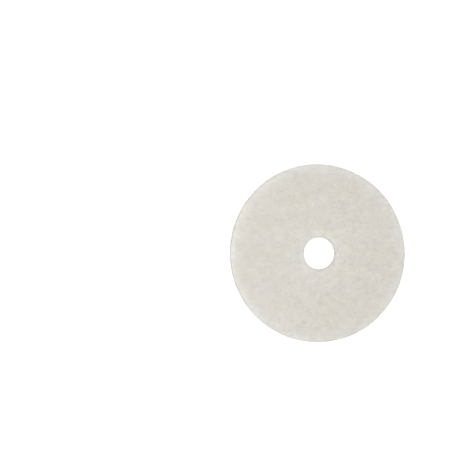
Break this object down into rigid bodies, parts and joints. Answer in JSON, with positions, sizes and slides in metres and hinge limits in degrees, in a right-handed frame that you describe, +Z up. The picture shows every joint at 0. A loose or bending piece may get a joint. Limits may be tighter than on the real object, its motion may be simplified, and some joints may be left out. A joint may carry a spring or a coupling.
{
  "type": "floor polishing pad",
  "caption": "Round white non-woven floor polishing pad: a flat fibre disc with soft pinched edges and a centre hole for a pad driver, lying on its face.",
  "frame": {"origin": "centre of the lower face, on the axis of the centre hole", "axes": "+Z up along the axis of the hole, square to both faces; the disc is round, so +X and +Y are any pair across it"},
  "size_m": [0.432, 0.432, 0.022],
  "materials": {
    "fibre_web": "matt off-white non-woven web of bonded curly fibres"
  },
  "bodies": {
    "root": {"polishing_pad": "fibre_web"}
  },
  "joints": []
}
